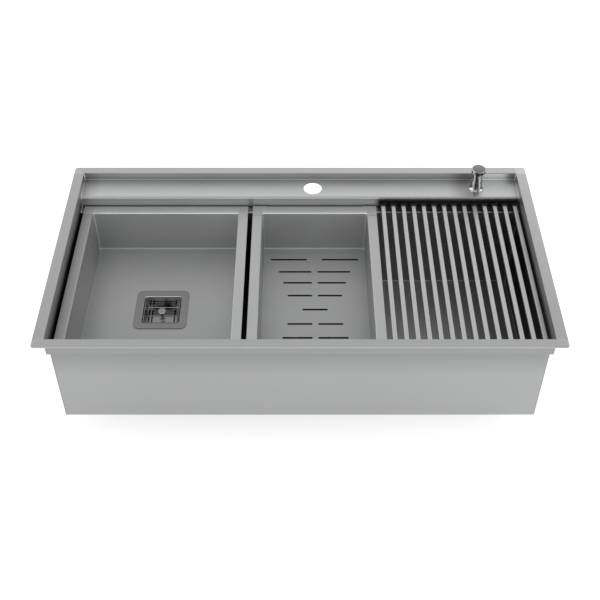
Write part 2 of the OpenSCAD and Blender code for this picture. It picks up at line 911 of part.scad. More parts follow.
// Pump cylinder, hung in the shank by its flange
module pump_cylinder() {
    outer_r = shank_bore_d / 2 - slide_gap;
    inner_r = outer_r - cylinder_wall;
    color("whitesmoke")
        translate(dispenser_at)
            rotate_extrude()
                polygon([
                    [stem_d / 2 + slide_gap, shank_top_h + cylinder_flange_t],
                    [stem_d / 2 + slide_gap, shank_top_h],
                    [inner_r, shank_top_h - cylinder_wall],
                    [inner_r, -cylinder_len + cylinder_wall],
                    [tube_bore_d / 2, -cylinder_len + cylinder_wall],
                    [tube_bore_d / 2, -cylinder_len],
                    [outer_r, -cylinder_len], [outer_r, shank_top_h],
                    [shank_d / 2 - 1.6, shank_top_h],
                    [shank_d / 2 - 1.6, shank_top_h + cylinder_flange_t]
                ]);
}

module dip_tube() {
    len = bottle_h + shank_len - cylinder_len - bottle_wall - 4;
    color("white")
        translate(dispenser_at - [0, 0, cylinder_len + len])
            difference() {
                cylinder(h = len, d = tube_d);
                translate([0, 0, -len])
                    cylinder(h = 3 * len, d = tube_bore_d);
            }
}

// Return spring under the piston: one round wire wound in a steady helix
module pump_spring() {
    sides = 6;
    rings = 8;
    r = shank_bore_d / 2 - slide_gap - cylinder_wall - spring_wire / 2 - 0.4;
    z0 = -cylinder_len + cylinder_wall + spring_wire / 2;
    z1 = piston_z - spring_wire / 2;
    lead = (z1 - z0) / spring_turns;
    steps = spring_turns * rings;
    points = [
        for (i = [0 : steps], j = [0 : sides - 1])
            let (a = 360 * i / rings, b = 360 * j / sides, q = r + spring_wire / 2 * cos(b))
                [q * cos(a), q * sin(a), z0 + lead * i / rings + spring_wire / 2 * sin(b)]
    ];
    skin = [
        for (i = [0 : steps - 1], j = [0 : sides - 1], half = [0, 1])
            let (a = i * sides + j, b = i * sides + (j + 1) % sides)
                half == 0 ? [a, b + sides, b] : [a, a + sides, b + sides]
    ];
    start = [for (j = [1 : sides - 2]) [0, j, j + 1]];
    end = [for (j = [1 : sides - 2]) [steps * sides, steps * sides + j + 1, steps * sides + j]];
    echo(str("least gap between turns of the spring: ", lead - spring_wire, " mm"));
    color("silver")
        translate(dispenser_at)
            polyhedron(points, concat(skin, start, end));
}

// Piston and hollow stem, pushed down by the head
module pump_stem() {
    piston_r = shank_bore_d / 2 - 2 * slide_gap - cylinder_wall;
    color("whitesmoke")
        translate(dispenser_at)
            difference() {
                union() {
                    translate([0, 0, piston_z])
                        cylinder(h = piston_h, r = piston_r);
                    translate([0, 0, piston_z])
                        cylinder(h = stem_top_h - piston_z, d = stem_d);
                }
                translate([0, 0, 2 * piston_z])
                    cylinder(h = 4 * head_top_h, d = tube_bore_d);
            }
}

// Press cap with the sleeve that runs in the collar and the socket on the stem
module dispenser_head() {
    sleeve_r = head_sleeve_d / 2;
    cap_r = cap_d / 2;
    socket_r = stem_d / 2 + slide_gap;
    color("gainsboro")
        translate(dispenser_at)
            difference() {
                rotate_extrude() {
                    translate([0, cap_z])
                        square([cap_r, cap_h - cap_edge_r]);
                    translate([0, cap_z])
                        square([cap_r - cap_edge_r, cap_h]);
                    translate([cap_r - cap_edge_r, head_top_h - cap_edge_r])
                        circle(cap_edge_r);
                    translate([sleeve_r - head_wall, head_skirt_bottom])
                        square([head_wall, cap_z - head_skirt_bottom]);
                    translate([0, stem_top_h - socket_depth])
                        square([socket_r + head_wall, cap_z - stem_top_h + socket_depth]);
                }
                translate([0, 0, stem_top_h - 2 * socket_depth])
                    cylinder(h = 2 * socket_depth + rest_gap, r = socket_r);
                translate([0, 0, stem_top_h])
                    cylinder(h = spout_root_h - stem_top_h, d = spout_bore_d);
                translate([0, 0, spout_root_h])
                    rotate([90, 0, 0])
                        cylinder(h = cap_d, d = spout_bore_d);
            }
}

// Tapered spout that slopes down from the head; its mouth is cut level
module dispenser_spout() {
    root = [0, -spout_root_reach, spout_root_h];
    mouth = [0, spout_tip_d * 0.7 - spout_reach, spout_mouth_h];
    run = norm(mouth - root);
    slope = atan2(root.z - mouth.z, root.y - mouth.y);
    color("gainsboro")
        translate(dispenser_at)
            difference() {
                translate(root)
                    rotate([90 + slope, 0, 0])
                        cylinder(h = run + spout_tip_d, d1 = spout_root_d,
                            d2 = spout_tip_d);
                translate(root)
                    rotate([90 + slope, 0, 0])
                        cylinder(h = 2 * run, d = spout_bore_d);
                cylinder(h = head_top_h, d = head_sleeve_d);
                translate([-cap_d, -2 * spout_reach, 0])
                    cube([2 * cap_d, 2 * spout_reach, spout_mouth_h]);
            }
}

rim_frame();
folded_shell();
end_plate_left();
end_plate_right();
sound_pads();
main_waste_cup();
main_waste_gasket();
main_waste_nut();
main_basket();
main_basket_knob();
main_basket_seal();
basin_shell();
basin_waste_cup();
basin_waste_gasket();
basin_waste_nut();
basin_basket();
basin_basket_knob();
basin_basket_seal();
tray_shell();
tray_corner_plates();
dispenser_collar();
dispenser_shank();
dispenser_washer();
dispenser_nut();
dispenser_bottle();
pump_cylinder();
dip_tube();
pump_spring();
pump_stem();
dispenser_head();
dispenser_spout();
for (i = bar_numbers) {
    rack_bar(i);
    rack_sleeve(i);
}
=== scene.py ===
import math

import bpy
import numpy as np
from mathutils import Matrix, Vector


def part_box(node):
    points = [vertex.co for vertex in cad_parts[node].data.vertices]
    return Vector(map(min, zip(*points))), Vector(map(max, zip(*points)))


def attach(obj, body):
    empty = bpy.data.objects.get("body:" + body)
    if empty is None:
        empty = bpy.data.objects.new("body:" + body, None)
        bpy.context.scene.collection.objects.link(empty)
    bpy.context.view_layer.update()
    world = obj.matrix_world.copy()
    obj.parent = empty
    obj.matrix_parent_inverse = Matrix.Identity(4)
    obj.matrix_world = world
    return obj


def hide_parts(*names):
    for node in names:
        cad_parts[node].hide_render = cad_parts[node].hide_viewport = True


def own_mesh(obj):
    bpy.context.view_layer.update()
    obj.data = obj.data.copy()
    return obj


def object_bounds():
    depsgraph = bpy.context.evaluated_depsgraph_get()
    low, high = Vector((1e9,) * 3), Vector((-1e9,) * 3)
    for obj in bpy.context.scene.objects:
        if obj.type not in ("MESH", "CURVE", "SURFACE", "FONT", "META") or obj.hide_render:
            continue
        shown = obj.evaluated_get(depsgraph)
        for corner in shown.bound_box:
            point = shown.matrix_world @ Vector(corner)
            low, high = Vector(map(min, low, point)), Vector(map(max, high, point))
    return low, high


# Inset workstation sink: finishes, weld seams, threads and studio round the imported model.
# Lengths are in metres. +X is to the user's right, +Y away from the user, +Z up, and the
# worktop is at Z = 0.

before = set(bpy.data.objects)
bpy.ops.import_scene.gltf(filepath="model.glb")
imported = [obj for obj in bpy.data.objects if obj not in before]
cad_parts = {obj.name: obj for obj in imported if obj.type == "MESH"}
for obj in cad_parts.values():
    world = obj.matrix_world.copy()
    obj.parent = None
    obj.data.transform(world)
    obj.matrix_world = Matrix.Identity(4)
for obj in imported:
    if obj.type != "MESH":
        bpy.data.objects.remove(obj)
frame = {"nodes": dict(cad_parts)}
cad_low, cad_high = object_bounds()

MM = 0.001

# Places, in millimetres
TAP_LINE = (388.0, 219.5)
WASTE = (32.0, -31.5)
DECK_Z = -15.5

# The dispenser, in millimetres
COLLAR_FOOT_R = 15.9
COLLAR_NECK_R = 11.6
COLLAR_BORE_R = 10.8
COLLAR_H = 22.9
FLARE_H = 10.0

# Camera: the photograph's angle, worked out from the rim's edges
CAMERA_BACK = 1.5188
CAMERA_HEIGHT = 1.3813
CAMERA_PITCH = 45.13
CAMERA_LENS = 60.28
CAMERA_SENSOR = 36.0

# Studio
FLOOR_GAP = 0.0005
FLOOR_SIDE = 60.0
FLOOR_COLOUR = 0.80
FLOOR_LIFT = 0.50
FLOOR_SEEN = 0.72
SKY_GLOSS_LOW = 1.45
SKY_GLOSS_HIGH = 0.50
SKY_LOW_Z = 0.20
SKY_HIGH_Z = 0.95
SKY_LEAN = 0.05
SKY_DIFFUSE = 0.62
KEY_PLACE = (1.6, 0.5, 2.2)
KEY_TARGET = (0, 0, -0.1)
KEY_SIZE = (1.6, 1.6)
KEY_POWER = 12.0


def bars():
    """Names of the rack's bars and of its silicone ends."""
    nodes = frame["nodes"]
    return sorted(n for n in nodes if n.startswith("rack_bar_")), sorted(
        n for n in nodes if n.startswith("rack_sleeve_"))


class Finish:
    """A material under construction: its nodes are made and joined by short calls."""

    def __init__(self, name, colour, metallic, roughness, **sockets):
        self.material = bpy.data.materials.new(name)
        self.material.use_nodes = True
        self.tree = self.material.node_tree
        self.shader = self.tree.nodes["Principled BSDF"]
        self.colour = colour
        self.shader.inputs["Metallic"].default_value = metallic
        self.shader.inputs["Roughness"].default_value = roughness
        self.shader.inputs["Base Color"].default_value = (*colour, 1)
        for socket, value in sockets.items():
            self.shader.inputs[socket.replace("_", " ")].default_value = value
        self.coordinates = self.tree.nodes.new("ShaderNodeTexCoord")
        self.splits = {}

    def link(self, output, target):
        """Joins an output to an input socket, or writes a plain number into it."""
        if isinstance(output, (int, float)):
            target.default_value = output
        else:
            self.tree.links.new(output, target)

    def math(self, operation, a, b=0.0, clamp=False):
        """One Math node: a operation b."""
        node = self.tree.nodes.new("ShaderNodeMath")
        node.operation = operation
        node.use_clamp = clamp
        self.link(a, node.inputs[0])
        self.link(b, node.inputs[1])
        return node.outputs[0]

    def axis(self, kind, index):
        """One component, 0 to 2, of the piece's Object or Normal coordinates."""
        if kind not in self.splits:
            self.splits[kind] = self.tree.nodes.new("ShaderNodeSeparateXYZ")
            self.tree.links.new(self.coordinates.outputs[kind], self.splits[kind].inputs[0])
        return self.splits[kind].outputs[index]

    def noise(self, scale, detail=3.0):
        """Noise of (sx x, sy y, sz z); its streaks run along the axis of the smallest s."""
        mapping = self.tree.nodes.new("ShaderNodeMapping")
        mapping.inputs["Scale"].default_value = scale
        self.tree.links.new(self.coordinates.outputs["Object"], mapping.inputs["Vector"])
        node = self.tree.nodes.new("ShaderNodeTexNoise")
        node.inputs["Scale"].default_value = 1.0
        node.inputs["Detail"].default_value = detail
        node.inputs["Roughness"].default_value = 0.5
        self.tree.links.new(mapping.outputs["Vector"], node.inputs["Vector"])
        return node.outputs["Fac"]

    def mix(self, factor, a, b):
        """a (1 - factor) + b factor, on numbers."""
        node = self.tree.nodes.new("ShaderNodeMix")
        self.link(factor, node.inputs[0])
        self.link(a, node.inputs[2])
        self.link(b, node.inputs[3])
        return node.outputs[0]

    def spread(self, value, low, high, start=0.3, end=0.7):
        """Carries value's range start to end onto low to high."""
        node = self.tree.nodes.new("ShaderNodeMapRange")
        self.link(value, node.inputs["Value"])
        for socket, number in (("From Min", start), ("From Max", end), ("To Min", low),
                               ("To Max", high)):
            node.inputs[socket].default_value = number
        return node.outputs["Result"]

    def ramp(self, place, start, end, low=0.0, high=1.0):
        """Goes from low to high as a coordinate goes from start to end. place is x, y or z for
        the place in millimetres, or nx, ny or nz for the face's direction."""
        kind = "Normal" if place[0] == "n" else "Object"
        unit = 1.0 if kind == "Normal" else MM
        return self.spread(self.axis(kind, "xyz".index(place[-1])), low, high,
                           start * unit, end * unit)

    def steps(self, value, stops):
        """A grey between 0 and 1 that goes through the stops, pairs of value and grey."""
        node = self.tree.nodes.new("ShaderNodeValToRGB")
        band = node.color_ramp
        self.link(value, node.inputs["Fac"])
        while len(band.elements) < len(stops):
            band.elements.new(0.5)
        for element, (place, grey) in zip(band.elements, stops):
            element.position = place
            element.color = (grey, grey, grey, 1)
        return node.outputs["Color"]

    def where(self, masks, shade):
        """shade where all masks are 1, and 1 elsewhere."""
        mask = masks[0]
        for other in masks[1:]:
            mask = self.math("MULTIPLY", mask, other)
        return self.mix(mask, 1.0, shade)

    def shades(self, factors):
        """Base Color times the product of all factors."""
        if not factors:
            return
        product = factors[0]
        for factor in factors[1:]:
            product = self.math("MULTIPLY", product, factor)
        base = self.shader.inputs["Base Color"]
        scale = self.tree.nodes.new("ShaderNodeVectorMath")
        scale.operation = "SCALE"
        self.tree.links.new(base.links[0].from_socket, scale.inputs[0])
        self.link(product, scale.inputs["Scale"])
        self.tree.links.new(scale.outputs[0], base)

    def tint(self, value, low, high):
        """Base colour times a shade that goes from low to high with value."""
        node = self.tree.nodes.new("ShaderNodeMix")
        node.data_type = "RGBA"
        node.inputs[6].default_value = (*(low * c for c in self.colour), 1)
        node.inputs[7].default_value = (*(min(1.0, high * c) for c in self.colour), 1)
        self.link(self.spread(value, 0.0, 1.0), node.inputs[0])
        self.tree.links.new(node.outputs[2], self.shader.inputs["Base Color"])

    def bump(self, height, depth, strength=1.0):
        """Bump whose full height is depth metres."""
        node = self.tree.nodes.new("ShaderNodeBump")
        node.inputs["Strength"].default_value = strength
        node.inputs["Distance"].default_value = depth
        self.link(height, node.inputs["Height"])
        self.tree.links.new(node.outputs["Normal"], self.shader.inputs["Normal"])


GRAIN_ALONG = 30.0
GRAIN_ACROSS = 2600.0
BLOTCH = 7.0
STREAK = 0.035
SHADE = 0.05


def along(axis):
    """Noise scale whose streaks run along one axis."""
    return tuple(GRAIN_ALONG if i == axis else GRAIN_ACROSS for i in range(3))


def brushed(name, colour, roughness, direction, zones=None, anisotropy=0.35):
    """Brushed steel. direction is "x" or "y" for a fixed grain, "walls" for grain along X that
    turns along Y on faces that look to the left or right, and "mitred" for a rim whose grain
    follows each side and meets on the diagonals.

    roughness = r +- STREAK by the grain +- STREAK by a broad noise;
    colour = base (1 +- SHADE) zones."""
    f = Finish(name, colour, 1.0, roughness, Anisotropic=anisotropy)
    if direction in ("x", "y"):
        grain = f.noise(along("xy".index(direction)))
        turned = float(direction == "y")
    else:
        if direction == "walls":
            side = f.math("ABSOLUTE", f.axis("Normal", 0))
            turned = f.math("GREATER_THAN", side, 0.7)
        else:
            across = f.math("ABSOLUTE", f.axis("Object", 0))
            deep = f.math("ABSOLUTE", f.axis("Object", 1))
            corner = cad_high.x - cad_high.y
            turned = f.math("GREATER_THAN", f.math("SUBTRACT", across, deep), corner)
        grain = f.mix(turned, f.noise(along(0)), f.noise(along(1)))
    broad = f.noise((BLOTCH, BLOTCH, BLOTCH), detail=2.0)
    rough = f.math("ADD", f.spread(grain, roughness - STREAK, roughness + STREAK),
                   f.spread(broad, -STREAK, STREAK))
    f.link(rough, f.shader.inputs["Roughness"])
    f.tint(f.mix(0.35, grain, broad), 1 - SHADE, 1 + SHADE)
    f.shades(zones(f) if zones else [])
    f.bump(grain, 0.02 * MM, 0.35)
    combine = f.tree.nodes.new("ShaderNodeCombineXYZ")
    f.link(f.math("SUBTRACT", 1.0, turned), combine.inputs[0])
    f.link(turned, combine.inputs[1])
    cross = f.tree.nodes.new("ShaderNodeVectorMath")
    cross.operation = "CROSS_PRODUCT"
    f.tree.links.new(f.coordinates.outputs["Normal"], cross.inputs[0])
    f.tree.links.new(combine.outputs[0], cross.inputs[1])
    f.tree.links.new(cross.outputs[0], f.shader.inputs["Tangent"])
    return f.material


def polished(name, colour, roughness, waviness=0.02 * MM, zones=None):
    """Polished metal: faint waves and fine wipe marks in the roughness."""
    f = Finish(name, colour, 1.0, roughness)
    wipe = f.noise((900.0, 900.0, 140.0), detail=4.0)
    f.link(f.spread(wipe, roughness * 0.7, roughness * 1.4), f.shader.inputs["Roughness"])
    f.tint(f.noise((40.0, 40.0, 40.0)), 0.97, 1.03)
    f.shades(zones(f) if zones else [])
    f.bump(f.noise((70.0, 70.0, 70.0), detail=1.0), waviness, 0.4)
    return f.material


def moulded(name, colour, roughness, grain_scale, depth, shade=0.06):
    """Moulded rubber or plastic: fine grain in the height, broad change in tone and gloss."""
    f = Finish(name, colour, 0.0, roughness)
    fine = f.noise((grain_scale,) * 3, detail=4.0)
    broad = f.noise((30.0, 30.0, 30.0), detail=2.0)
    f.link(f.spread(f.mix(0.5, fine, broad), roughness - 0.08, roughness + 0.08),
           f.shader.inputs["Roughness"])
    f.tint(broad, 1 - shade, 1 + shade)
    f.bump(fine, depth, 0.6)
    return f.material


# Zones of tone, in millimetres. The real steel has one finish: these factors were set until the
# render's greys agreed with the photograph's, so they hold part of its light and shade, and
# stay on the object at every pose.
def rim_zones(f):
    """The back side a little brighter, more so to the right; the front side too."""
    back = f.ramp("y", 246, 250)
    front = f.ramp("y", -246, -250)
    right = f.ramp("x", 475, 480)
    return [f.where([back], f.ramp("x", -450, 450, 1.17, 1.3)),
            f.where([front], 1.1),
            f.where([right], f.ramp("y", -250, 245, 1.0, 1.14))]


def shell_zones(f):
    """Deck bright, ledges dark under what lies on them, the bowl darker with depth inside and
    much darker below the pans, and the outside a little darker under the rim."""
    inside = [f.ramp("y", -230.0, -229.7), f.ramp("y", 167.2, 166.7)]
    outside = f.ramp("y", -229.7, -230.0)
    upwards = f.ramp("nz", 0.4, 0.7)
    forwards = f.ramp("ny", -0.4, -0.7)
    face = [forwards, f.ramp("y", 186.0, 186.6), f.ramp("y", 190.0, 189.0),
            f.ramp("z", -16.0, -17.0)]
    over_rack = f.ramp("x", 170, 175)
    ledge = [upwards, f.ramp("z", -35.0, -36.5), f.ramp("z", -40.0, -39.4)]
    # Painted shadow of the dispenser: the deck and back wall darker just to its left.
    dispenser_shadow = [f.ramp("y", 185, 195), f.ramp("x", 325, 358), f.ramp("x", 384, 370)]
    wall = [forwards, f.ramp("y", 248, 249.5)]
    ledge_back = [f.ramp("y", 180, 182), f.ramp("z", -35.5, -37.0), f.ramp("z", -40.0, -39.4)]
    ledge_bend = [over_rack, f.ramp("y", 162.5, 163.5), f.ramp("y", 168, 167.4),
                  f.ramp("z", -44, -43)]
    below_pans = inside + [f.ramp("z", -145, -160), f.ramp("x", 165, 150)]
    return [
        f.where([upwards, f.ramp("y", 187, 192)], f.ramp("y", 240, 200, 1.2, 1.5)),
        f.where(wall, f.ramp("z", -15, -4, 0.6, 1.0)),
        f.where(wall + [f.ramp("x", 396, 404), f.ramp("x", 466, 450)], 2.1),
        f.where(dispenser_shadow, 0.66),
        f.where([f.ramp("y", 190, 192)], f.ramp("x", -478, -440, 0.72, 1.0)),
        f.where([f.ramp("y", 225, 249)], f.ramp("x", 476, 458, 0.65, 1.0)),
        f.where(ledge_bend, 0.55),
        f.where(ledge_back, 0.3),
        f.where(ledge, 0.35),
        f.where(ledge + [over_rack], 0.4),
        f.where(face, 1.2),
        f.where(face + [over_rack], f.ramp("z", -19.0, -24.0, 0.5, 0.12)),
        f.where(inside + [f.ramp("z", -40.0, -41.0)], f.ramp("z", -42, -60, 0.75, 0.6)),
        f.where(inside + [f.ramp("z", -244.0, -246.0), upwards, over_rack],
                f.ramp("x", 470, 180, 1.2, 2.4)),
        f.where(below_pans, 0.4),
        f.where([outside, f.ramp("z", -39.5, -40.5)], f.ramp("z", -42, -120, 0.72, 1.02)),
        f.where([outside, f.ramp("z", -39.5, -38.5)], 0.84)]


def plate_zones(f):
    """The inner faces fade to dark towards the ledge, and stay dark below it."""
    inner = [f.ramp("x", -478.9, -478.7), f.ramp("x", 478.9, 478.7)]
    return [f.where(inner + [f.ramp("y", 188, 186)], f.ramp("z", -4, -34, 0.95, 0.18)),
            f.where(inner + [f.ramp("z", -39, -45)], 0.6)]


# The tray's slots: distance of a row from the middle, and the near and far end of its slots.
# A slot is 1.5 to each side of its middle line; the dark band round it is painted shade, not
# shape.
SLOTS = ((0.0, 0.0, 26.5), (42.0, 6.5, 58.0), (81.5, 6.5, 68.0), (116.0, 7.0, 78.0),
         (155.5, 17.0, 97.0))
SLOT_EDGE = 2.6


def slot_edges(f):
    """Masks that are 1 on and just round the tray's slots, and to the right of the basin."""
    across = f.math("ABSOLUTE", f.math("SUBTRACT", f.axis("Object", 0), WASTE[0] * MM))
    deep = f.math("ABSOLUTE", f.math("SUBTRACT", f.axis("Object", 1), WASTE[1] * MM))
    found = 0.0
    for row, near, far in SLOTS:
        off = f.math("ABSOLUTE", f.math("SUBTRACT", deep, row * MM))
        band = f.spread(off, 1.0, 0.0, (SLOT_EDGE - 0.2) * MM, SLOT_EDGE * MM)
        ends = f.spread(across, 1.0, 0.0, far * MM, (far + 0.5) * MM)
        if near:
            ends = f.math("MULTIPLY", ends,
                          f.spread(across, 0.0, 1.0, (near - 0.5) * MM, near * MM))
        found = f.math("MAXIMUM", found, f.math("MULTIPLY", band, ends))
    return [found, f.ramp("x", -90, -88)]


def pan_zones(f):
    """Flanges bright to the right, walls darker towards the floor, floors darker in front, and
    a dark band round the slots."""
    flange = f.ramp("z", -40.5, -39.5)
    middle = f.math("MAXIMUM",
                    f.math("MULTIPLY", f.ramp("x", -452, -451), f.ramp("x", -134, -135)),
                    f.math("MULTIPLY", f.ramp("x", -82.5, -81.5), f.ramp("x", 146.5, 145.5)))
    behind = f.ramp("y", 159.0, 160.0)
    low = f.ramp("z", -137.0, -139.0)
    wall = [f.ramp("z", -39.5, -40.5), f.ramp("z", -139.0, -137.0)]
    back = f.ramp("ny", -0.5, -0.7)
    left = f.ramp("nx", 0.5, 0.7)
    return [
        f.where([flange], f.ramp("x", -460, -125, 0.93, 1.2)),
        f.where([flange, behind], f.ramp("x", -460, -125, 1.25, 1.02)),
        f.where([flange, behind, middle], f.ramp("y", 183, 163, 1.0, 1.2)),
        f.where([f.ramp("z", -42, -41.5), f.ramp("y", 157, 158), f.ramp("y", 163.2, 162.6),
                 middle], 1.2),
        f.where([f.ramp("nx", 0.15, 0.35), f.ramp("nz", 0.15, 0.35), f.ramp("z", -45, -43)], 0.8),
        f.where([low] + slot_edges(f), 0.08),
        f.where(wall + [back], f.ramp("z", -45, -137, 1.36, 0.86)),
        f.where(wall + [left], f.ramp("y", 160, -200, 1.18, 0.8)),
        f.where([low], f.ramp("y", 150, -200, 1.25, 0.88)),
        f.where([f.ramp("z", -140.5, -140.7), f.ramp("nz", 0.7, 0.5)], 0.05)]


def cup_zones(f):
    """Square flanges grey, with a bright bend at the back; cups dark inside."""
    level = f.ramp("nz", 0.75, 0.9)
    bend = [f.ramp("nz", 0.1, 0.25), f.ramp("nz", 0.9, 0.75), f.ramp("ny", -0.2, -0.4)]
    top = f.math("MAXIMUM", f.ramp("z", -146, -145),
                 f.math("MULTIPLY", f.ramp("z", -252, -251), f.ramp("z", -240, -241)))
    return [f.where([level, top], 0.46), f.where([f.math("SUBTRACT", 1.0, top)], 0.06),
            f.where(bend + [top], 1.6), f.where([top, f.ramp("nz", 0.1, 0.0)], 0.3)]


def basket_zones(f):
    """Level and upright faces grey, bends bright."""
    level = f.ramp("nz", 0.6, 0.8)
    bend = [f.ramp("nz", 0.15, 0.3), f.ramp("nz", 0.9, 0.75)]
    return [f.where([level], 0.45), f.where([f.ramp("ny", -0.5, -0.8)], 0.7),
            f.where([f.ramp("nz", 0.1, -0.1)], 0.75), f.where(bend, 1.6)]


CHROME_STRIPES = ((0.0, 0.12), (0.04, 0.3), (0.08, 1.0), (0.22, 1.0), (0.27, 0.1), (0.40, 0.1),
                  (0.46, 0.35), (0.66, 0.35), (0.70, 0.12), (0.74, 1.0), (0.79, 1.0),
                  (0.84, 0.12), (1.0, 0.25))
SPOUT_STRIPES = ((0.0, 0.05), (0.2, 0.05), (0.28, 0.24), (0.66, 0.18), (0.74, 0.9), (0.86, 0.9),
                 (0.92, 0.05))


def chrome_zones(f, stripes=CHROME_STRIPES):
    """Stripes that stand in for a mirrored studio, by the side that a face looks to; the
    press cap's level top is grey and a little darker in front."""
    side = f.spread(f.axis("Normal", 0), 0.0, 1.0, -1.0, 1.0)
    upright = [f.ramp("nz", 0.75, 0.5), f.ramp("nz", -0.75, -0.5)]
    return [f.where([f.ramp("nz", 0.7, 0.9)], f.ramp("y", 204, 234, 0.22, 0.36)),
            f.where(upright, f.steps(side, stripes))]


def spout_zones(f):
    """The spout's underside is dark and its upper side grey, with a bright line on the right."""
    return [f.steps(f.spread(f.axis("Normal", 0), 0.0, 1.0, -1.0, 1.0), SPOUT_STRIPES)]


STEEL = (0.455, 0.458, 0.460)
SATIN = 0.46

finishes = {
    "rim": brushed("rim_steel", STEEL, SATIN, "mitred", rim_zones),
    "shell": brushed("shell_steel", STEEL, SATIN, "x", shell_zones),
    "plate": brushed("end_plate_steel", STEEL, SATIN, "y", plate_zones, anisotropy=0.0),
    "pan": brushed("pan_steel", STEEL, SATIN, "walls", pan_zones),
    "bar": brushed("bar_steel", (0.53, 0.535, 0.538), 0.36, "y"),
    "cup": polished("cup_steel", (0.55, 0.55, 0.56), 0.3, zones=cup_zones),
    "basket": polished("basket_steel", (0.62, 0.62, 0.63), 0.14, zones=basket_zones),
    "chrome": polished("chrome", (0.78, 0.78, 0.79), 0.08, 0.005 * MM, chrome_zones),
    "spout": polished("spout_chrome", (0.78, 0.78, 0.79), 0.1, 0.005 * MM, spout_zones),
    "spring": polished("spring_steel", (0.5, 0.5, 0.5), 0.25),
    "silicone": moulded("black_silicone", (0.012, 0.012, 0.013), 0.5, 1500.0, 0.03 * MM),
    "rubber": moulded("grey_rubber", (0.07, 0.07, 0.075), 0.75, 600.0, 0.08 * MM),
    "plastic": moulded("white_plastic", (0.78, 0.78, 0.76), 0.42, 1200.0, 0.02 * MM, 0.02),
    "bottle": moulded("bottle_plastic", (0.82, 0.83, 0.83), 0.35, 800.0, 0.02 * MM, 0.02),
}

BAR_NODES, SLEEVE_NODES = bars()
finish_of = {
    "rim": ["rim_frame"],
    "shell": ["folded_shell"],
    "plate": ["end_plate_left", "end_plate_right"],
    "pan": ["basin_shell", "tray_shell", "tray_corner_plates"],
    "bar": BAR_NODES,
    "cup": ["main_waste_cup", "basin_waste_cup"],
    "basket": ["main_basket", "basin_basket", "main_basket_knob", "basin_basket_knob"],
    "chrome": ["dispenser_collar", "dispenser_head"],
    "spout": ["dispenser_spout"],
    "spring": ["pump_spring"],
    "silicone": SLEEVE_NODES,
    "rubber": ["sound_pads", "main_waste_gasket", "basin_waste_gasket", "main_basket_seal",
               "basin_basket_seal", "dispenser_washer"],
    "plastic": ["main_waste_nut", "basin_waste_nut", "dispenser_shank", "dispenser_nut",
                "pump_cylinder", "dip_tube", "pump_stem"],
    "bottle": ["dispenser_bottle"],
}
for finish, names in finish_of.items():
    for name in names:
        mesh = frame["nodes"][name].data
        mesh.materials.clear()
        mesh.materials.append(finishes[finish])


# Extra pieces. Lengths in millimetres.
SECTION = np.array([
    (-250.0, 0.5), (-250.0, -39.0), (-229.5, -39.0), (-229.5, -247.0), (166.5, -247.0),
    (166.5, -39.0), (187.0, -39.0), (187.0, -15.5), (250.0, -15.5), (250.0, 0.5)])
HOLLOW_BEND = 2.5
PROUD_BEND = 4.0
SHEET_SEAM_R = 1.25
PAN_SEAM_R = 0.5
PAN_FLANGE = (21.0, 22.5)
PAN_SHEET = 1.2
PAN_SEAM_INSET = (0.9, 1.47, 0.33)


def add_piece(name, points, faces, material, body):
    """A smooth closed mesh in metres at the origin, riding on one body."""
    mesh = bpy.data.meshes.new(name)
    mesh.from_pydata((points * MM).tolist(), [], faces)
    mesh.shade_smooth()
    mesh.materials.append(material)
    piece = bpy.data.objects.new(name, mesh)
    bpy.context.scene.collection.objects.link(piece)
    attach(piece, body)
    return piece


def tube_faces(rings, sides):
    """Quads between rings of sides points each, with a flat cap at both ends.

    Point j of ring i is number i sides + j."""
    i, j = np.meshgrid(np.arange(rings - 1), np.arange(sides), indexing="ij")
    a, b = i * sides + j, i * sides + (j + 1) % sides
    quads = np.stack([a, b, b + sides, a + sides], axis=-1).reshape(-1, 4).tolist()
    start = np.arange(sides)[::-1].tolist()
    end = (np.arange(sides) + (rings - 1) * sides).tolist()
    return quads + [start, end]


def sleeve_faces(rings, sides):
    """Quads between rings of sides points each, with the last ring joined to the first."""
    i, j = np.meshgrid(np.arange(rings), np.arange(sides), indexing="ij")
    here, after = i * sides, (i + 1) % rings * sides
    return np.stack([here + j, here + (j + 1) % sides, after + (j + 1) % sides, after + j],
                    axis=-1).reshape(-1, 4).tolist()


def turned(profile, base, axis, sides=64):
    """Points of a profile of radii r and heights s, turned about an axis through base.

    point(i, a) = base + s_i d + r_i (cos a u + sin a v), with d along the axis and u, v, d at
    right angles."""
    d = np.asarray(axis, float) / np.linalg.norm(axis)
    u = np.cross((0.0, 1.0, 0.0) if abs(d[1]) < 0.9 else (1.0, 0.0, 0.0), d)
    u /= np.linalg.norm(u)
    v = np.cross(d, u)
    a = np.linspace(0, 2 * np.pi, sides, endpoint=False)[None, :, None]
    r, s = np.asarray(profile, float).T[:, :, None, None]
    points = np.asarray(base, float) + s * d + r * (np.cos(a) * u + np.sin(a) * v)
    return points.reshape(-1, 3)


def rounded_path(corners, radii, steps=8):
    """Points and unit tangents along a path whose right-angled corners are arcs.

    At corner P between directions d0 and d1 with radius r, for a from 0 to 90 degrees:
    point = P + r (d1 - d0) + r (d0 sin a - d1 cos a), tangent = d0 cos a + d1 sin a."""
    legs = np.diff(corners, axis=0)
    ways = legs / np.linalg.norm(legs, axis=1)[:, None]
    d0, d1 = ways[:-1, None, :], ways[1:, None, :]
    r = np.asarray(radii, float)[:, None, None]
    a = np.linspace(0, np.pi / 2, steps)[None, :, None]
    arcs = corners[1:-1, None, :] + r * (d1 - d0) + r * (d0 * np.sin(a) - d1 * np.cos(a))
    turns = d0 * np.cos(a) + d1 * np.sin(a)
    points = np.concatenate([corners[:1], arcs.reshape(-1, 2), corners[-1:]])
    tangents = np.concatenate([ways[:1], turns.reshape(-1, 2), ways[-1:]])
    return points, tangents


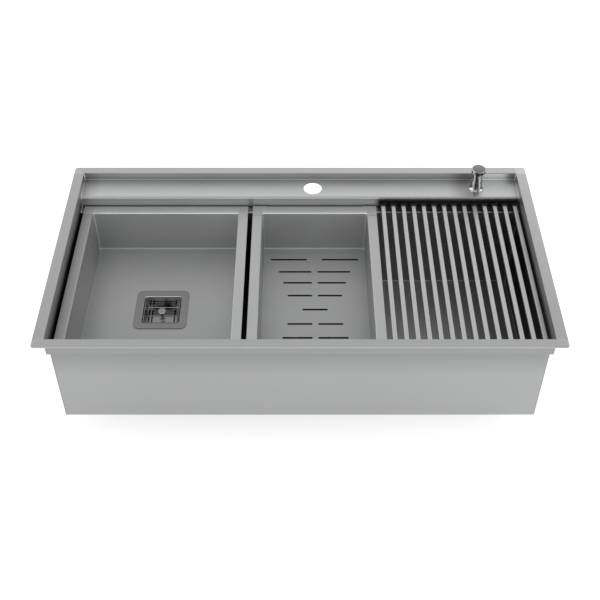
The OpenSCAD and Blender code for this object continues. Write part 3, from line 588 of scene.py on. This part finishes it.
def seam(name, x, corners, radii, radius, material, body, sides=12):
    """Round bead of weld at one X along a path in Y and Z.

    point(i, b) = path_i + radius (cos b n_i + sin b X), n_i = X cross tangent_i."""
    path, tangents = rounded_path(corners, radii)
    count = len(path)
    middle = np.column_stack([np.full(count, x), path])
    normal = np.column_stack([np.zeros(count), -tangents[:, 1], tangents[:, 0]])
    b = np.linspace(0, 2 * np.pi, sides, endpoint=False)
    points = (middle[:, None, :] + radius * np.cos(b)[None, :, None] * normal[:, None, :]
              + radius * np.sin(b)[None, :, None] * np.array([1.0, 0.0, 0.0]))
    return add_piece(name, points.reshape(-1, 3), tube_faces(count, sides), material, body)


def pan_seams(node, body, material):
    """Weld lines inside a pan: down its back corner, along the floor's edge and up in front,
    at its left and its right."""
    low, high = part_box(node)
    low, high = np.array(low) / MM, np.array(high) / MM
    along, across, up = PAN_SEAM_INSET
    back, front = high[1] - PAN_FLANGE[1] - across, low[1] + PAN_FLANGE[1] + across
    top, floor = high[2] - 1.6, low[2] + PAN_SHEET + up
    corners = np.array([(back, top), (back, floor), (front, floor), (front, top)])
    inner = PAN_FLANGE[0] + along
    for side, x in (("left", low[0] + inner), ("right", high[0] - inner)):
        seam("%s_seam_%s" % (body, side), x, corners, (3.0, 3.0), PAN_SEAM_R, material, body)


def shell_seams(material):
    """Weld beads where the folded sheet meets its end plates."""
    turn = np.cross(np.diff(SECTION, axis=0)[:-1], np.diff(SECTION, axis=0)[1:])
    radii = np.where(turn > 0, HOLLOW_BEND, PROUD_BEND)
    for side, x in (("left", np.array(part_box("end_plate_left")[1])[0]),
                    ("right", np.array(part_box("end_plate_right")[0])[0])):
        seam("shell_seam_" + side, x / MM, SECTION, radii, SHEET_SEAM_R, material, "sink")


def screw_thread(name, at, radius, low, high, pitch, height, material, sides=72):
    """Screw thread as a thin closed sleeve round a plain shank, fading out at both ends.

    r(a, z) = radius + height (1/2 - 1/2 cos 2 pi (z / pitch - a / 2 pi))^0.7 fade(z)."""
    rows = int((high - low) / pitch * 10) + 1
    z = np.linspace(low, high, rows)
    a = np.linspace(0, 2 * np.pi, sides, endpoint=False)
    zz, aa = np.meshgrid(z, a, indexing="ij")
    fade = np.clip(np.minimum(zz - low, high - zz) / pitch, 0, 1)
    wave = 0.5 - 0.5 * np.cos(2 * np.pi * (zz / pitch - aa / (2 * np.pi)))
    r = radius + height * wave ** 0.7 * fade
    outer = np.stack([at[0] + r * np.cos(aa), at[1] + r * np.sin(aa), zz], axis=-1)
    inside = radius - 0.4
    inner = np.stack([at[0] + inside * np.cos(aa), at[1] + inside * np.sin(aa), zz], axis=-1)
    points = np.concatenate([outer, inner[::-1]])
    return add_piece(name, points.reshape(-1, 3), sleeve_faces(2 * rows, sides), material,
                     "sink")


def return_spring(at, z0, z1, radius, wire, turns, material, sides=12, per_turn=48):
    """The pump's coil spring, smooth and with its end coils closed.

    height(t) eases at both ends so that the first and last coil lie flat:
    z(t) = z0 + (z1 - z0) ease(t), angle(t) = 2 pi turns t."""
    count = turns * per_turn + 1
    t = np.linspace(0, 1, count)
    closed = wire / (z1 - z0)
    share = 1.0 / turns
    inner = (t - share) / (1 - 2 * share)
    height = np.where(t < share, closed * t / share,
                      np.where(t > 1 - share, 1 - closed * (1 - t) / share,
                               closed + (1 - 2 * closed) * inner))
    angle = 2 * np.pi * turns * t
    out = np.column_stack([np.cos(angle), np.sin(angle), np.zeros(count)])
    middle = radius * out + np.column_stack(
        [np.full(count, at[0]), np.full(count, at[1]), z0 + (z1 - z0) * height])
    b = np.linspace(0, 2 * np.pi, sides, endpoint=False)
    ring = wire / 2 * np.stack([np.cos(b), -np.sin(b)])
    points = (middle[:, None, :] + ring[0][None, :, None] * out[:, None, :]
              + ring[1][None, :, None] * np.array([0.0, 0.0, 1.0]))
    spring = add_piece("smooth_spring", points.reshape(-1, 3), tube_faces(count, sides),
                       material, "sink")
    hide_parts("pump_spring")
    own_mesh(spring)


def smooth_collar(material):
    """The dispenser's collar: a low flared foot and a straight neck.

    flare: r(s) = neck + (foot - neck) (1 - s)^2.6, s from 0 to 1 over the flare's height."""
    s = np.linspace(0, 1, 24)
    flare = np.column_stack([COLLAR_NECK_R + (COLLAR_FOOT_R - COLLAR_NECK_R) * (1 - s) ** 2.6,
                             1.2 + (FLARE_H - 1.2) * s])
    edge = np.array([(COLLAR_BORE_R, 0.05), (COLLAR_FOOT_R - 0.3, 0.05), (COLLAR_FOOT_R, 0.4)])
    lip = np.array([(COLLAR_NECK_R, COLLAR_H - 0.4), (COLLAR_NECK_R - 0.2, COLLAR_H),
                    (COLLAR_BORE_R, COLLAR_H)])
    profile = np.concatenate([edge, flare, lip])
    points = turned(profile, (*TAP_LINE, DECK_Z), (0, 0, 1), 96)
    collar = add_piece("smooth_collar", points, sleeve_faces(len(profile), 96), material,
                       "sink")
    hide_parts("dispenser_collar")


def smooth_spout(material):
    """The slender spout: a tapered tube from the press cap to a rounded mouth with its bore.

    r(s) = root + (tip - root) s^0.8, s from 0 to 1 along the tube."""
    low = np.array(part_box("dispenser_spout")[0]) / MM
    root = np.array([TAP_LINE[0], TAP_LINE[1] - 9.0, DECK_Z + 41.0])
    mouth = np.array([TAP_LINE[0], low[1] + 2.9, low[2] + 1.6])
    way = mouth - root
    length = np.linalg.norm(way)
    s = np.linspace(0, 1, 20)
    outer = np.column_stack([3.9 - 1.7 * s ** 0.8, (length - 0.5) * s])
    tip = np.array([(2.0, length - 0.1), (1.6, length), (1.25, length - 0.2), (1.2, length - 12)])
    profile = np.concatenate([outer, tip])
    points = turned(profile, root, way, 40)
    spout = add_piece("smooth_spout", points, tube_faces(len(profile), 40), material,
                      "dispenser_head")
    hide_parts("dispenser_spout")


def math_node(nodes, operation, second=None):
    """One Math node whose second input may be a plain number."""
    node = nodes.new("ShaderNodeMath")
    node.operation = operation
    if second is not None:
        node.inputs[1].default_value = second
    return node


def studio_world():
    """White to the camera; a soft sky, a little brighter near the horizon, in reflections; and
    a plain level for diffuse light."""
    world = bpy.data.worlds.new("studio")
    bpy.context.scene.world = world
    world.use_nodes = True
    tree = world.node_tree
    nodes, links = tree.nodes, tree.links
    nodes.clear()
    path = nodes.new("ShaderNodeLightPath")
    where = nodes.new("ShaderNodeTexCoord")
    split = nodes.new("ShaderNodeSeparateXYZ")
    links.new(where.outputs["Generated"], split.inputs[0])
    slope = nodes.new("ShaderNodeMapRange")
    links.new(split.outputs[2], slope.inputs["Value"])
    for socket, number in (("From Min", SKY_LOW_Z), ("From Max", SKY_HIGH_Z),
                           ("To Min", SKY_GLOSS_LOW), ("To Max", SKY_GLOSS_HIGH)):
        slope.inputs[socket].default_value = number
    lean = math_node(nodes, "MULTIPLY_ADD", SKY_LEAN)
    links.new(split.outputs[0], lean.inputs[0])
    links.new(slope.outputs["Result"], lean.inputs[2])
    shades = []
    for strength in (SKY_DIFFUSE, None, 1.0):
        shade = nodes.new("ShaderNodeBackground")
        shade.inputs["Color"].default_value = (1, 1, 1, 1)
        if strength is None:
            links.new(lean.outputs[0], shade.inputs["Strength"])
        else:
            shade.inputs["Strength"].default_value = strength
        shades.append(shade.outputs[0])
    seen = math_node(nodes, "MAXIMUM")
    links.new(path.outputs["Is Glossy Ray"], seen.inputs[0])
    links.new(path.outputs["Is Transmission Ray"], seen.inputs[1])
    first = nodes.new("ShaderNodeMixShader")
    links.new(seen.outputs[0], first.inputs[0])
    links.new(shades[0], first.inputs[1])
    links.new(shades[1], first.inputs[2])
    second = nodes.new("ShaderNodeMixShader")
    links.new(path.outputs["Is Camera Ray"], second.inputs[0])
    links.new(first.outputs[0], second.inputs[1])
    links.new(shades[2], second.inputs[2])
    links.new(second.outputs[0], nodes.new("ShaderNodeOutputWorld").inputs[0])


def pale_floor():
    """A large pale sheet under the object that keeps its shadow."""
    half = FLOOR_SIDE / 2
    z = cad_low.z - FLOOR_GAP
    mesh = bpy.data.meshes.new("floor")
    mesh.from_pydata([(-half, -half, z), (half, -half, z), (half, half, z), (-half, half, z)],
                     [], [(0, 1, 2, 3)])
    floor = bpy.data.objects.new("floor", mesh)
    bpy.context.scene.collection.objects.link(floor)
    material = bpy.data.materials.new("floor_paper")
    material.use_nodes = True
    nodes, links = material.node_tree.nodes, material.node_tree.links
    nodes.clear()
    paper = nodes.new("ShaderNodeBsdfDiffuse")
    paper.inputs["Color"].default_value = (FLOOR_COLOUR, FLOOR_COLOUR, FLOOR_COLOUR, 1)
    lift = nodes.new("ShaderNodeEmission")
    path = nodes.new("ShaderNodeLightPath")
    mirrored = math_node(nodes, "MULTIPLY", FLOOR_LIFT)
    links.new(path.outputs["Is Glossy Ray"], mirrored.inputs[0])
    level = math_node(nodes, "MULTIPLY_ADD", FLOOR_SEEN)
    links.new(path.outputs["Is Camera Ray"], level.inputs[0])
    links.new(mirrored.outputs[0], level.inputs[2])
    links.new(level.outputs[0], lift.inputs["Strength"])
    both = nodes.new("ShaderNodeAddShader")
    links.new(paper.outputs[0], both.inputs[0])
    links.new(lift.outputs[0], both.inputs[1])
    links.new(both.outputs[0], nodes.new("ShaderNodeOutputMaterial").inputs[0])
    mesh.materials.append(material)


def soft_lamp(name, place, target, size, power):
    """Area lamp at place that looks at target."""
    light = bpy.data.lights.new(name, "AREA")
    light.shape = "RECTANGLE"
    light.size, light.size_y = size
    light.energy = power
    lamp = bpy.data.objects.new(name, light)
    lamp.visible_glossy = False
    bpy.context.scene.collection.objects.link(lamp)
    away = np.array(place) - np.array(target)
    flat = math.hypot(away[0], away[1])
    lamp.location = place
    turn = math.atan2(away[1], away[0]) + math.pi / 2
    lamp.rotation_euler = (math.atan2(flat, away[2]), 0, turn)


def camera():
    """Camera on the middle line in front of the sink, pitched down at the photo's angle."""
    data = bpy.data.cameras.new("camera")
    data.lens = CAMERA_LENS
    data.sensor_width = CAMERA_SENSOR
    data.clip_start, data.clip_end = 0.05, 200.0
    eye = bpy.data.objects.new("camera", data)
    bpy.context.scene.collection.objects.link(eye)
    eye.location = (0, -CAMERA_BACK, CAMERA_HEIGHT)
    eye.rotation_euler = (math.radians(90 - CAMERA_PITCH), 0, 0)
    bpy.context.scene.camera = eye


weld = polished("weld_steel", (0.62, 0.625, 0.63), 0.32)
fine_weld = polished("fine_weld_steel", (0.40, 0.403, 0.406), 0.38)
shell_seams(weld)
pan_seams("basin_shell", "basin", fine_weld)
pan_seams("tray_shell", "tray", fine_weld)
screw_thread("waste_thread", WASTE, 23.85, -318.9, -295.6, 2.3, 0.5, finishes["cup"])
screw_thread("shank_thread", TAP_LINE, 11.95, -41.3, -28.2, 2.0, 0.45, finishes["plastic"])
return_spring(TAP_LINE, -97.0, -46.0, 5.8, 1.0, 8, finishes["spring"])
smooth_collar(finishes["chrome"])
smooth_spout(finishes["spout"])
studio_world()
pale_floor()
soft_lamp("key", KEY_PLACE, KEY_TARGET, KEY_SIZE, KEY_POWER)
camera()
bpy.context.scene.view_settings.view_transform = "Standard"
